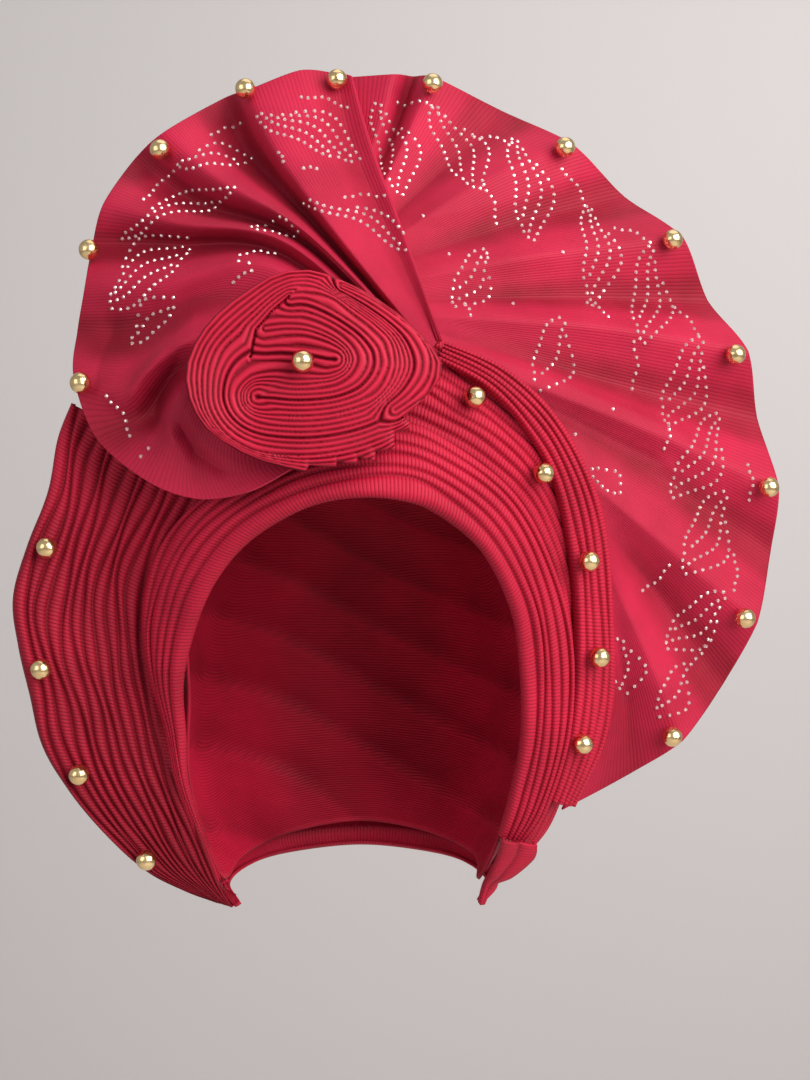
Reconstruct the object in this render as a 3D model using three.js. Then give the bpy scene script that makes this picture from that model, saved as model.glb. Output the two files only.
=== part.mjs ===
import * as THREE from 'three';

// Tied gele head tie in millimetres: one stiff ribbed cloth folded into pleats
// round the face, a flared wing on the left, two pleated fans above, a coiled
// rosette on the brow and gold beads along the rims.
// Origin: centre of the wearer's head at brow height. +X to the viewer's right,
// +Y to the back of the head, +Z up. The face looks along -Y.

// Driving dimensions
const WALL = 2.2;
const RIB_RELIEF = 2.4;
const THIN_RIB_RELIEF = 1.6;
const FAN_WALL = 2;
const FAN_SAG = 0.8;
const BAND_WALL = 2.6;
const BEAD_RADIUS = 4;
const BEAD_SIDES = 10;
const BEAD_RINGS = 6;
const HEAD_AXES = [79, 99, 112];
const CAP_POLE = [0, 0.55, 0.83];
const CAP_RING_STEPS = [0.16, 0.34, 0.52, 0.68, 0.83, 1];
const COIL_FRONT = { centre: -108, rim: -103 };
const COIL_BACK = { centre: -82, rim: -88 };
const COIL_RELIEF = 1.6;
const COIL_GAP = 0.3;

// Strips of pleats. Each row is one station across the strip:
// inner edge x, y, z, then outer edge x, y, z.
// Brow band, from the left cheek over the forehead to the right jaw.
const BROW_ROWS = [
  [-66, -33, -57, -70, -32, -52],
  [-67, -40, -37, -75, -34, -32],
  [-67, -48, -16, -80, -36, -13],
  [-61, -57, 6, -82, -38, 10],
  [-52, -67, 24, -75, -46, 34],
  [-38, -77, 39, -58, -59, 53],
  [-19, -85, 50, -29, -70, 70],
  [-1, -88, 54, -5, -76, 79],
  [17, -88, 53, 16, -79, 82],
  [31, -84, 48, 34, -77, 75],
  [48, -75, 34, 59, -68, 56],
  [59, -63, 13, 73, -57, 27],
  [63, -53, -9, 80, -47, -2],
  [64, -44, -37, 80, -37, -36],
  [60, -36, -61, 73, -28, -66],
  [56, -28, -78, 65, -22, -81],
];

// Crown pleats, from under the left fan over the head to the right jaw.
const CROWN_ROWS = [
  [-50, -57, 66, -98, -36, 104],
  [-38, -64, 76, -76, -42, 126],
  [-21, -66, 78, -44, -46, 136],
  [-3, -70, 80, -12, -50, 134],
  [16, -73, 80, 20, -56, 122],
  [34, -71, 73, 41, -60, 106],
  [48, -67, 65, 57, -58, 94],
  [60, -62, 54, 72, -54, 81],
  [70, -55, 39, 83, -42, 63],
  [77, -48, 21, 90, -24, 40],
  [81, -42, -2, 92, -8, 12],
  [82, -36, -26, 91, 0, -18],
  [79, -30, -48, 87, 4, -42],
  [72, -24, -67, 82, 2, -64],
  [67, -19, -78, 77, 2, -77],
  [62, -16, -87, 70, 0, -86],
];

// Left wing, from its point below the cheek up to the left fan.
const WING_ROWS = [
  [-50, -8, -109, -58, -9, -106],
  [-54, -11, -102, -70, -15, -100],
  [-57, -15, -92, -85, -22, -91],
  [-61, -20, -77, -99, -30, -76],
  [-66, -25, -60, -111, -38, -59],
  [-69, -25, -46, -120, -44, -41],
  [-73, -26, -31, -124, -48, -21],
  [-76, -27, -16, -128, -50, -2],
  [-77, -29, 0, -130, -50, 16],
  [-77, -32, 15, -125, -48, 36],
  [-71, -41, 31, -118, -44, 57],
  [-61, -48, 46, -115, -40, 77],
  [-55, -51, 59, -110, -38, 91],
];

// Collar folds that cover the foot of the right fan.
const COLLAR_ROWS = [
  [31, -69, 105, 34, -68, 112],
  [50, -69, 94, 55, -67, 103],
  [65, -65, 78, 74, -63, 87],
  [77, -59, 60, 88, -55, 65],
  [84, -51, 38, 96, -45, 43],
  [89, -43, 13, 99, -37, 15],
  [90, -36, -14, 101, -29, -18],
  [87, -31, -40, 97, -23, -42],
  [80, -26, -62, 86, -19, -67],
];

// Turned end of the band below the right jaw.
const TAB_ROWS = [
  [57, -34, -79, 71, -25, -82],
  [56, -27, -86, 70, -21, -88],
  [53, -20, -94, 62, -16, -96],
  [51, -15, -99, 55, -12, -100],
  [49, -10, -108, 51, -9, -108],
];

// Tied band round the nape, from the right jaw to the left, lower edge first.
const NAPE_ROWS = [
  [50, -4, -108, 55, 0, -99],
  [55, 14, -104, 61, 16, -88],
  [48, 38, -100, 57, 40, -80],
  [32, 56, -97, 39, 65, -76],
  [0, 67, -95, 0, 79.5, -73],
  [-32, 56, -97, -39, 65, -76],
  [-48, 38, -100, -57, 40, -80],
  [-55, 14, -104, -61, 16, -90],
  [-49, -3, -110, -55, 2, -101],
];

// Front edge of the cap, a closed loop seen from the front: up the left side,
// over the forehead, down the right side and round the nape.
const CAP_EDGE = [
  [-51, -1, -98], [-60, -14, -78], [-64, -22, -52], [-65, -34, -24],
  [-65, -44, 6], [-58, -54, 32], [-44, -64, 48], [-24, -71, 60],
  [0, -74, 65], [22, -73, 64], [42, -68, 55], [58, -58, 34],
  [66, -48, 6], [68, -38, -24], [64, -28, -52], [56, -14, -78],
  [47, -2, -98], [49, 22, -94], [38, 46, -90], [20, 58, -86],
  [0, 62, -84], [-20, 58, -86], [-38, 46, -90], [-49, 22, -94],
];

// Fans. Each row is one fold line: rim, middle and foot points.
// Ridges and valleys take turns, from the upright left edge clockwise.
const RIGHT_FOLDS = [
  [[-14, 2, 225], [-8, -8, 206], [-1, -18, 189]],
  [[14, -7, 225], [9, -16, 202], [2, -25, 180]],
  [[22, 6, 227], [14, -9, 200], [4, -25, 174]],
  [[31, -6, 224], [19, -20, 196], [6, -33, 167]],
  [[59, 12, 214], [35, -12, 187], [9, -34, 159]],
  [[86, -4, 198], [49, -23, 179], [12, -41, 152]],
  [[109, 12, 179], [64, -16, 164], [15, -41, 145]],
  [[131, -4, 160], [76, -27, 150], [19, -47, 137]],
  [[143, 10, 136], [85, -19, 134], [22, -47, 130]],
  [[157, -6, 114], [95, -30, 121], [26, -52, 123]],
  [[163, 9, 88], [97, -22, 101], [30, -51, 117]],
  [[169, -8, 59], [103, -31, 85], [35, -53, 109]],
  [[168, 6, 33], [115, -22, 65], [63, -45, 92]],
  [[160, -10, 5], [121, -28, 36], [87, -41, 63]],
  [[148, 3, -21], [118, -15, 18], [95, -36, 43]],
  [[130, -12, -42], [114, -22, -6], [99, -31, 24]],
  [[110, -4, -56], [107, -14, -24], [101, -25, 3]],
  [[82, -8, -73], [94, -14, -46], [102, -20, -21]],
];

// Left fan, from its upright right edge anticlockwise down to the lower lobe.
// Each fold line: rim, outer, inner and gathered points.
const LEFT_FOLDS = [
  [[-2, -12, 223], [6, -26, 193], [20, -52, 151], [32, -76, 112]],
  [[-9, -9, 225], [-2, -22, 194], [15, -50, 150], [31, -75, 111]],
  [[-23, -14, 225], [-13, -30, 194], [7, -58, 150], [30, -78, 110]],
  [[-43, -16, 217], [-31, -36, 189], [-6, -63, 152], [28, -80, 108]],
  [[-55, -2, 216], [-43, -12, 192], [-12, -50, 154], [27, -76, 107]],
  [[-76, -22, 199], [-54, -40, 178], [-17, -67, 152], [26, -81, 106]],
  [[-89, -12, 190], [-63, -26, 170], [-20, -56, 151], [25, -77, 105]],
  [[-99, -30, 169], [-67, -48, 159], [-24, -69, 148], [24, -82, 103]],
  [[-104, -24, 154], [-70, -36, 152], [-27, -60, 145], [23, -78, 102]],
  [[-105, -38, 135], [-73, -58, 135], [-30, -72, 139], [22, -82, 101]],
  [[-108, -36, 119], [-82, -50, 118], [-44, -67, 127], [18, -78, 98]],
  [[-107, -52, 100], [-87, -66, 94], [-58, -74, 112], [2, -78, 94]],
  [[-97, -60, 76], [-80, -62, 84], [-61, -68, 102], [-12, -77, 92]],
  [[-75, -76, 59], [-66, -77, 78], [-57, -76, 93], [-20, -77, 90]],
  [[-56, -82, 53], [-58, -79, 66], [-51, -77, 84], [-20, -77, 87]],
  [[-37, -88, 54], [-42, -84, 61], [-40, -80, 75], [-17, -79, 83]],
  [[-22, -89, 59], [-25, -86, 64], [-25, -83, 72], [-13, -80, 79]],
];

// Coil of pleats in the rosette, as half turns seen from the front.
// Columns: centre x, reach (right +, left -), then height and half width
// at the start, at the outermost point and at the end of the half turn.
const COIL_TURNS = [
  { x: -8, reach: 8.5, z: [111, 102, 95], half: [7.2, 7.2, 5.8] },
  { x: -31, reach: -6.5, z: [95, 89.5, 83], half: [4.6, 5.8, 5.8] },
  { x: -8, reach: 22, z: [83, 101, 122], half: [5.8, 5.8, 4.2] },
  { x: -27, reach: -21.5, z: [126, 92, 73], half: [2.4, 3.8, 3.4] },
  { x: -8, reach: 34, z: [72.5, 104, 129.5], half: [3.4, 4.1, 2.7] },
  { x: -27, reach: -31, z: [131.5, 92, 66.5], half: [2, 4.1, 3] },
];
const COIL_START = [[-35, 109, 10.2], [-21, 112, 9.2]];
const COIL_TAIL = [[-14, 66, 2.6], [-3, 67.5, 2]];

// Beads: x, y, z of each centre.
const BEADS = [
  [-44, -22, 216], [-77, -27, 191], [-104, -33, 151], [-103, -61, 97],
  [-8, -16, 221], [30, -13, 220], [83, -11, 195], [126, -11, 158],
  [151, -12, 112], [164, -14, 59], [154, -17, 7], [125, -17, -40],
  [45, -73, 91], [71, -65, 63], [89, -54, 30], [94, -43, -7],
  [88, -36, -41], [-117, -53, 35], [-119, -54, -11], [-106, -45, -52],
  [-82, -30, -87], [-17, -111, 101],
];

// Smooth line through rows of numbers, each span cut into equal steps.
function resample(rows, steps) {
  const last = rows.length - 1;
  const out = [];
  for (let i = 0; i < last; i += 1) {
    const before = rows[Math.max(0, i - 1)];
    const after = rows[Math.min(last, i + 2)];
    for (let k = 0; k < steps; k += 1) {
      const t = k / steps;
      out.push(rows[i].map((p1, c) => {
        const p2 = rows[i + 1][c];
        const m1 = (p2 - before[c]) / 2;
        const m2 = (after[c] - p1) / 2;
        const bend = 3 * (p2 - p1) - 2 * m1 - m2;
        const close = 2 * (p1 - p2) + m1 + m2;
        return p1 + m1 * t + bend * t * t + close * t * t * t;
      }));
    }
  }
  out.push(rows[last]);
  return out;
}

// Triangles that close the end of a loft across one ring.
function endFaces(ring) {
  const normal = new THREE.Vector3();
  ring.forEach((p, i) => {
    const q = ring[(i + 1) % ring.length];
    normal.add(p.clone().cross(q));
  });
  normal.normalize();
  const side = Math.abs(normal.z) < 0.9 ? new THREE.Vector3(0, 0, 1) : new THREE.Vector3(1, 0, 0);
  const u = side.cross(normal).normalize();
  const v = normal.clone().cross(u);
  const flat = ring.map((p) => new THREE.Vector2(p.dot(u), p.dot(v)));
  return THREE.ShapeUtils.triangulateShape(flat, []);
}

// Closed body swept through rings that all have the same number of points.
function loft(rings) {
  const n = rings[0].length;
  const points = rings.flat();
  const faces = [];
  for (let r = 0; r < rings.length - 1; r += 1) {
    for (let i = 0; i < n; i += 1) {
      const j = (i + 1) % n;
      const a = r * n;
      const b = a + n;
      faces.push([a + i, a + j, b + j], [a + i, b + j, b + i]);
    }
  }
  const top = (rings.length - 1) * n;
  endFaces(rings[0]).forEach(([i, j, k]) => faces.push([i, k, j]));
  endFaces(rings[rings.length - 1]).forEach(([i, j, k]) => faces.push([top + i, top + j, top + k]));
  let volume = 0;
  faces.forEach(([i, j, k]) => {
    volume += points[i].dot(points[j].clone().cross(points[k]));
  });
  const index = faces.flatMap(([i, j, k]) => (volume < 0 ? [i, k, j] : [i, j, k]));
  const geometry = new THREE.BufferGeometry();
  geometry.setAttribute('position', new THREE.Float32BufferAttribute(points.flatMap((p) => p.toArray()), 3));
  geometry.setIndex(index);
  return geometry;
}

// Section across a strip: ribs on the front, plain behind.
// Pairs of place across (0 to 1) and height over the cloth's mid line.
function ribbedSection(ribs, relief, wall, firstRib = 1) {
  const total = firstRib + ribs - 1;
  const front = [[0, 0]];
  let place = 0;
  for (let i = 0; i < ribs; i += 1) {
    const width = (i === 0 ? firstRib : 1) / total;
    front.push([place + width / 2, relief]);
    place += width;
    front.push([place, 0]);
  }
  return [...front, [1, -wall], [0.5, -wall], [0, -wall]];
}

// Strip of pleats that lies along rows of inner and outer edge points.
// The ribs get lower where the strip narrows.
function pleatedStrip(rows, section, bulge, steps) {
  const dense = resample(rows, steps);
  const inner = dense.map((r) => new THREE.Vector3(r[0], r[1], r[2]));
  const outer = dense.map((r) => new THREE.Vector3(r[3], r[4], r[5]));
  const widest = Math.max(...inner.map((p, i) => p.distanceTo(outer[i])));
  const rings = dense.map((row, i) => {
    const a = Math.max(0, i - 1);
    const b = Math.min(dense.length - 1, i + 1);
    const run = inner[b].clone().add(outer[b]).sub(inner[a]).sub(outer[a]);
    const across = outer[i].clone().sub(inner[i]);
    const out = run.cross(across).normalize();
    const ease = Math.min(1, across.length() / (0.6 * widest));
    return section.map(([s, d]) => {
      const height = bulge * ease * Math.sin(Math.PI * s) + (d > 0 ? d * ease : d);
      return inner[i].clone().addScaledVector(across, s).addScaledVector(out, height);
    });
  });
  return loft(rings);
}

// Pleated fan through its fold lines; panels sag a little between the folds.
function pleatedFan(folds, steps) {
  const lines = folds.map((points) => resample(points, steps));
  const columns = [];
  lines.forEach((line, i) => {
    columns.push(line);
    const next = lines[i + 1];
    if (!next) return;
    columns.push(line.map((p, k) => {
      const q = next[k];
      const sag = FAN_SAG * (1 - k / line.length);
      return [(p[0] + q[0]) / 2, (p[1] + q[1]) / 2 + sag, (p[2] + q[2]) / 2];
    }));
  });
  const rings = columns.map((line) => {
    const front = line.map((p) => new THREE.Vector3(...p));
    const back = front.map((p) => p.clone().setY(p.y + FAN_WALL)).reverse();
    return [...front, ...back];
  });
  return loft(rings);
}

// Cap over the crown and back of the head, open at the face and at the neck.
function headCap() {
  const pole = new THREE.Vector3(...CAP_POLE).normalize();
  const shell = (wall) => CAP_RING_STEPS.map((t) => CAP_EDGE.map(([x, y, z]) => {
    const edge = new THREE.Vector3(x / HEAD_AXES[0], y / HEAD_AXES[1], z / HEAD_AXES[2]);
    const reach = edge.length();
    const angle = pole.angleTo(edge) * t;
    const axis = pole.clone().cross(edge).normalize();
    const point = pole.clone().applyAxisAngle(axis, angle).multiplyScalar(1 + (reach - 1) * t * t);
    const axes = HEAD_AXES.map((a) => a - wall);
    return new THREE.Vector3(point.x * axes[0], point.y * axes[1], point.z * axes[2]);
  }));
  return loft([...shell(0), ...shell(WALL).reverse()]);
}

// Centre line of the rosette's coil: rows of x, z and half width.
function coilRows() {
  const rows = [...COIL_START];
  COIL_TURNS.forEach((turn) => {
    [0, 0.25, 0.5, 0.75, 1].forEach((t) => {
      const side = t < 0.5 ? 0 : 2;
      const rise = Math.abs(Math.cos(Math.PI * t));
      const blend = Math.abs(1 - 2 * t);
      rows.push([
        turn.x + turn.reach * Math.sin(Math.PI * t),
        turn.z[1] + (turn.z[side] - turn.z[1]) * rise,
        turn.half[1] + (turn.half[side] - turn.half[1]) * blend,
      ]);
    });
  });
  return [...rows, ...COIL_TAIL];
}

// Rosette: a bundle of pleats wound on edge, highest at its centre.
function rosette() {
  const rows = resample(coilRows(), 3);
  const last = rows.length - 1;
  const rings = rows.map(([x, z, half], i) => {
    const a = rows[Math.max(0, i - 1)];
    const b = rows[Math.min(last, i + 1)];
    const side = new THREE.Vector3(a[1] - b[1], 0, b[0] - a[0]).normalize();
    const place = i / last;
    const front = COIL_FRONT.centre + (COIL_FRONT.rim - COIL_FRONT.centre) * place;
    const back = COIL_BACK.centre + (COIL_BACK.rim - COIL_BACK.centre) * place;
    const wide = half - COIL_GAP / 2;
    const ribs = [-1, -0.667, -0.333, 0, 0.333, 0.667, 1];
    const crest = ribs.map((s, k) => {
      const y = front + (k % 2 === 0 ? COIL_RELIEF : 0);
      return new THREE.Vector3(x, y, z).addScaledVector(side, s * wide);
    });
    const foot = [1, -1].map((s) => new THREE.Vector3(x, back, z).addScaledVector(side, s * wide));
    return [...crest, ...foot];
  });
  return loft(rings);
}

function bead([x, y, z]) {
  const ball = new THREE.SphereGeometry(BEAD_RADIUS, BEAD_SIDES, BEAD_RINGS);
  ball.rotateX(Math.PI / 2);
  ball.translate(x, y, z);
  return ball;
}

function clothMaterial() {
  return new THREE.MeshStandardMaterial({ color: '#c0203c', roughness: 0.7, metalness: 0 });
}

function goldMaterial() {
  return new THREE.MeshStandardMaterial({ color: '#d9a93f', roughness: 0.22, metalness: 1 });
}

const group = new THREE.Group();
group.name = 'tied_gele_head_tie';

function addPart(name, geometry, material) {
  const mesh = new THREE.Mesh(geometry, material);
  mesh.name = name;
  group.add(mesh);
}

const browSection = ribbedSection(5, RIB_RELIEF, WALL, 1.6);
const crownSection = ribbedSection(8, RIB_RELIEF, WALL);
const wingSection = ribbedSection(13, RIB_RELIEF, WALL);
const collarSection = ribbedSection(4, THIN_RIB_RELIEF, WALL);
const tabSection = ribbedSection(2, THIN_RIB_RELIEF / 2, WALL);
const napeSection = ribbedSection(3, THIN_RIB_RELIEF, BAND_WALL);

addPart('back_cap', headCap(), clothMaterial());
addPart('nape_band', pleatedStrip(NAPE_ROWS, napeSection, 0, 2), clothMaterial());
addPart('brow_band', pleatedStrip(BROW_ROWS, browSection, 1.5, 2), clothMaterial());
addPart('crown_pleats', pleatedStrip(CROWN_ROWS, crownSection, 3, 2), clothMaterial());
addPart('left_wing', pleatedStrip(WING_ROWS, wingSection, 0, 2), clothMaterial());
addPart('fan_collar', pleatedStrip(COLLAR_ROWS, collarSection, 1, 2), clothMaterial());
addPart('right_fan', pleatedFan(RIGHT_FOLDS, 3), clothMaterial());
addPart('left_fan', pleatedFan(LEFT_FOLDS, 3), clothMaterial());
addPart('rosette', rosette(), clothMaterial());
addPart('jaw_tab', pleatedStrip(TAB_ROWS, tabSection, 0, 1), clothMaterial());
BEADS.forEach((centre, i) => {
  addPart(`bead_${String(i + 1).padStart(2, '0')}`, bead(centre), goldMaterial());
});

export default group;
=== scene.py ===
# %% [markdown]
# # A tied gele head tie in ribbed red cloth
# A gele is one long, stiff piece of corded cloth. It is folded into pleats round the face,
# wound behind the head, and its two ends stand up as fans. This lesson dresses the packed
# model: every plain solid of cloth is replaced by a finer sheet that lies in the same place.
# The frame is in metres. +X is to the viewer's right, +Y to the back of the head and +Z up.

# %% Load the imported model
import math

import bmesh
import bpy
from mathutils import Matrix, Vector, noise
from mathutils.geometry import intersect_line_line_2d
from mathutils.bvhtree import BVHTree
from mathutils.kdtree import KDTree


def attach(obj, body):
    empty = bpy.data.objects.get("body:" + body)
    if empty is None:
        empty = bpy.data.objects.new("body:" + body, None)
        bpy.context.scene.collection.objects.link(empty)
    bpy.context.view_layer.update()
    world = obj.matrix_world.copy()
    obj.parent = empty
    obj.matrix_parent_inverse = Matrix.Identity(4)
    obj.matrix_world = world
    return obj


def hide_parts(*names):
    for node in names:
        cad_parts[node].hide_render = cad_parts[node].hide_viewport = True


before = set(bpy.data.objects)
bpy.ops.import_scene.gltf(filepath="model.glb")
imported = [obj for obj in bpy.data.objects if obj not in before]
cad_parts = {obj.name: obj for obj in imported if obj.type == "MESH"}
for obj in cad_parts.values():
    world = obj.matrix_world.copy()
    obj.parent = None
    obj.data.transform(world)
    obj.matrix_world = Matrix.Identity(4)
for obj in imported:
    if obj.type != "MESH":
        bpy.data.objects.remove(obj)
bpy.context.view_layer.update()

MM = 0.001

# %% [markdown]
# ## Camera, walls and light
# The head tie is seen level and from straight ahead, at a little under a metre, with a lens
# of 70 mm. A far wall and a low floor stay plain and pale. The main light is a soft window to
# the right and a little above, so the pleats shade each other and the left wing falls darker.

# %% Camera
camera_data = bpy.data.cameras.new("camera")
camera_data.lens, camera_data.sensor_width = 70, 36
camera = bpy.data.objects.new("camera", camera_data)
bpy.context.collection.objects.link(camera)
camera.location = (0.019, -0.850, 0.038)
camera.rotation_euler = (math.radians(90), 0, 0)
bpy.context.scene.camera = camera
bpy.context.scene.view_settings.view_transform = "Standard"
print("camera at", tuple(camera.location))


# %% Lights
def window(name, place, aim, size, watts, colour=(1, 1, 1)):
    """A soft rectangular light that faces a point."""
    data = bpy.data.lights.new(name, "AREA")
    data.shape, data.size, data.size_y = "RECTANGLE", size[0], size[1]
    data.energy, data.color = watts, colour
    lamp = bpy.data.objects.new(name, data)
    lamp.location = place
    lamp.rotation_euler = (Vector(aim) - Vector(place)).to_track_quat("-Z", "Y").to_euler()
    bpy.context.collection.objects.link(lamp)
    return lamp


WARM_DAY = (1, 0.985, 0.96)
window("window_right", (1.05, -1.15, 0.66), (0, 0, 0.05), (1.6, 1.5), 47, WARM_DAY)
window("fill_left", (-1.4, -1.5, 0.5), (0, 0, 0.08), (1.4, 1.4), 9)
window("sky_above", (0.2, 0.3, 1.9), (0, 0.1, 0), (1.6, 1.6), 7)
window("wall_wash", (0.9, 0.9, 0.9), (0.3, 2.2, 0.3), (1.2, 1.2), 10)

ROOM_LIGHT, ROOM_COLOUR = 0.42, (0.93, 0.95, 1, 1)
world = bpy.data.worlds.new("room")
world.use_nodes = True
background = world.node_tree.nodes["Background"].inputs
background["Color"].default_value, background["Strength"].default_value = ROOM_COLOUR, ROOM_LIGHT
bpy.context.scene.world = world


# %% [markdown]
# ## Helpers for node materials
# Each finish is a small node tree. These helpers start a material or a group, add a node with
# its settings and join sockets, which keeps every recipe below short enough to read in one go.

# %% Node helpers
def add_node(tree, kind, inputs=None, **settings):
    """A new node of that kind, with its settings and its plain input values."""
    node = tree.nodes.new("ShaderNode" + kind)
    for key, value in settings.items():
        setattr(node, key, value)
    for key, value in (inputs or {}).items():
        node.inputs[key].default_value = value
    return node


def join(tree, *pairs):
    """Joins output sockets to input sockets."""
    for source, target in pairs:
        tree.links.new(source, target)


def sums(tree, operation, first, second=None):
    """One step of arithmetic: each term is a socket or a number."""
    node = add_node(tree, "Math", operation=operation)
    for socket, term in zip(node.inputs, (first, second)):
        if isinstance(term, (int, float)):
            socket.default_value = term
        elif term is not None:
            join(tree, (term, socket))
    return node.outputs[0]


def new_finish(name):
    """A material with nodes: the material, its tree and its shader."""
    material = bpy.data.materials.new(name)
    material.use_nodes = True
    return material, material.node_tree, material.node_tree.nodes["Principled BSDF"]


def new_group(name, inputs, outputs):
    """A node group with named sockets: its tree, what it is given and what it makes."""
    tree = bpy.data.node_groups.new(name, "ShaderNodeTree")
    for direction, sockets in (("INPUT", inputs), ("OUTPUT", outputs)):
        for label, kind in sockets.items():
            tree.interface.new_socket(label, in_out=direction, socket_type="NodeSocket" + kind)
    given, made = tree.nodes.new("NodeGroupInput"), tree.nodes.new("NodeGroupOutput")
    return tree, given.outputs, made.inputs


# %% [markdown]
# ## The corded weave
# The cloth has raised cords about 1.5 mm apart. On every sheet the UV map holds the flat
# cloth's own metres: x runs along the cords and y counts across them. The group turns y into
# round cords with narrow grooves, bends them a little so that they don't look ruled, and
# crosses them with very fine threads. It is built once and used by each cloth.

# %% Node group of the corded weave
CORD_PITCH, CORD_WANDER, THREAD_PITCH = 1.45 * MM, 0.0004, 0.42 * MM


def build_cord_weave():
    tree, given, made = new_group("cord_weave",
                                  {"Cloth": "Vector", "Pitch": "Float", "Wander": "Float"},
                                  {"Height": "Float", "Groove": "Float"})
    parts = add_node(tree, "SeparateXYZ")
    drift = add_node(tree, "TexNoise", {"Scale": 55.0, "Detail": 2.0})
    join(tree, (given["Cloth"], parts.inputs[0]), (given["Cloth"], drift.inputs["Vector"]))
    bend = sums(tree, "MULTIPLY", sums(tree, "SUBTRACT", drift.outputs[0], 0.5), given["Wander"])
    turn = sums(tree, "DIVIDE", sums(tree, "ADD", parts.outputs["Y"], bend), given["Pitch"])
    wave = sums(tree, "ABSOLUTE", sums(tree, "SINE", sums(tree, "MULTIPLY", turn, math.pi)))
    cord = sums(tree, "POWER", wave, 0.6)
    crossing = sums(tree, "MULTIPLY", parts.outputs["X"], 2 * math.pi / THREAD_PITCH)
    thread = sums(tree, "SINE", crossing)
    rough = sums(tree, "MULTIPLY", thread, 0.05)
    join(tree, (sums(tree, "ADD", cord, rough), made["Height"]))
    join(tree, (sums(tree, "SUBTRACT", 1.0, cord), made["Groove"]))
    return tree


CORD_WEAVE = build_cord_weave()
print("group:", CORD_WEAVE.name, [s.name for s in CORD_WEAVE.interface.items_tree])

# %% [markdown]
# ## The tone of dyed cloth and its painted shade
# Dyed cloth is never one flat red. Broad soft patches come from how the folds were pressed,
# and fine flecks from single threads. This second group mixes a deep and a bright red with
# both. It also paints shade: the grooves of the weave and the valleys between folds are pushed
# towards the deep red. Each sheet says where its valleys are in a point attribute.

# %% Node group of the cloth's tone and painted shade
def build_tone_and_painted_shade():
    tree, given, made = new_group("tone_and_painted_shade",
                                  {"Place": "Vector", "Groove": "Float", "Valley": "Float",
                                   "Deep": "Color", "Bright": "Color"}, {"Colour": "Color"})
    patch = add_node(tree, "TexNoise", {"Scale": 28.0, "Detail": 3.0, "Roughness": 0.55})
    fleck = add_node(tree, "TexNoise", {"Scale": 2400.0, "Detail": 1.0})
    join(tree, (given["Place"], patch.inputs["Vector"]), (given["Place"], fleck.inputs["Vector"]))
    even = add_node(tree, "MapRange", {"From Min": 0.3, "From Max": 0.72})
    join(tree, (patch.outputs[0], even.inputs["Value"]))
    soft = sums(tree, "ADD", sums(tree, "MULTIPLY", even.outputs[0], 0.45), 0.45)
    share = sums(tree, "ADD", soft, sums(tree, "MULTIPLY", fleck.outputs[0], 0.25))
    # Painted shade: the grooves and the valleys pull the mix towards the deep red.
    dark = sums(tree, "ADD", given["Groove"], given["Valley"])
    shade = sums(tree, "SUBTRACT", share, dark)
    mix = add_node(tree, "Mix", data_type="RGBA", clamp_factor=True)
    join(tree, (shade, mix.inputs["Factor"]), (given["Deep"], mix.inputs["A"]),
         (given["Bright"], mix.inputs["B"]))
    join(tree, (mix.outputs["Result"], made["Colour"]))
    return tree


TONE_AND_PAINTED_SHADE = build_tone_and_painted_shade()
print("group:", TONE_AND_PAINTED_SHADE.name)


# %% [markdown]
# ## The cloth finishes
# The shader itself stays in each material. A little sheen gives the pink bloom that the cords
# show towards the window, and a bump node lifts the cords by a fraction of a millimetre.
# The rosette's strands are folds seen on edge, so there the cords are almost flat. The rims
# of the fans get a lighter, even red of their own with a smooth, hard finish: a painted
# highlight of the lit edge.

# %% Cloth materials
DEEP_RED = (0.20, 0.003, 0.013, 1)
BRIGHT_RED = (0.54, 0.010, 0.042, 1)


def cloth_finish(name, pitch=CORD_PITCH, relief=0.0002, rough=0.58, groove_shade=0.5,
                 deep=DEEP_RED, bright=BRIGHT_RED):
    """Corded red cloth: the weave's pitch and relief are in metres, and its grooves get painted
    shade by the given share.
    """
    material, tree, shader = new_finish(name)
    shader.inputs["Roughness"].default_value = rough
    shader.inputs["Specular IOR Level"].default_value = 0.2
    shader.inputs["Sheen Weight"].default_value = 0.02
    shader.inputs["Sheen Roughness"].default_value = 0.35
    shader.inputs["Sheen Tint"].default_value = (1, 0.45, 0.5, 1)
    cloth = add_node(tree, "UVMap", uv_map="cloth")
    place = add_node(tree, "TexCoord")
    # The point attribute valley holds each sheet's painted shade between folds.
    valley = add_node(tree, "Attribute", attribute_name="valley")
    weave = add_node(tree, "Group", node_tree=CORD_WEAVE)
    weave.inputs["Pitch"].default_value = pitch
    weave.inputs["Wander"].default_value = CORD_WANDER
    tone = add_node(tree, "Group", node_tree=TONE_AND_PAINTED_SHADE)
    tone.inputs["Deep"].default_value, tone.inputs["Bright"].default_value = deep, bright
    # Painted shade in the weave's grooves, a deeper red by the given share.
    groove = add_node(tree, "Math", {1: groove_shade}, operation="MULTIPLY")
    bump = add_node(tree, "Bump", {"Strength": 1.0, "Distance": relief})
    join(tree, (cloth.outputs[0], weave.inputs["Cloth"]),
         (place.outputs["Object"], tone.inputs["Place"]),
         (weave.outputs["Groove"], groove.inputs[0]), (groove.outputs[0], tone.inputs["Groove"]),
         (valley.outputs["Fac"], tone.inputs["Valley"]),
         (weave.outputs["Height"], bump.inputs["Height"]),
         (tone.outputs["Colour"], shader.inputs["Base Color"]),
         (bump.outputs[0], shader.inputs["Normal"]))
    return material


PLEAT_CLOTH = cloth_finish("pleated_band_cloth")
FAN_CLOTH = cloth_finish("fan_cloth", relief=0.00012, groove_shade=0.25,
                         bright=(0.49, 0.012, 0.050, 1))
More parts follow.
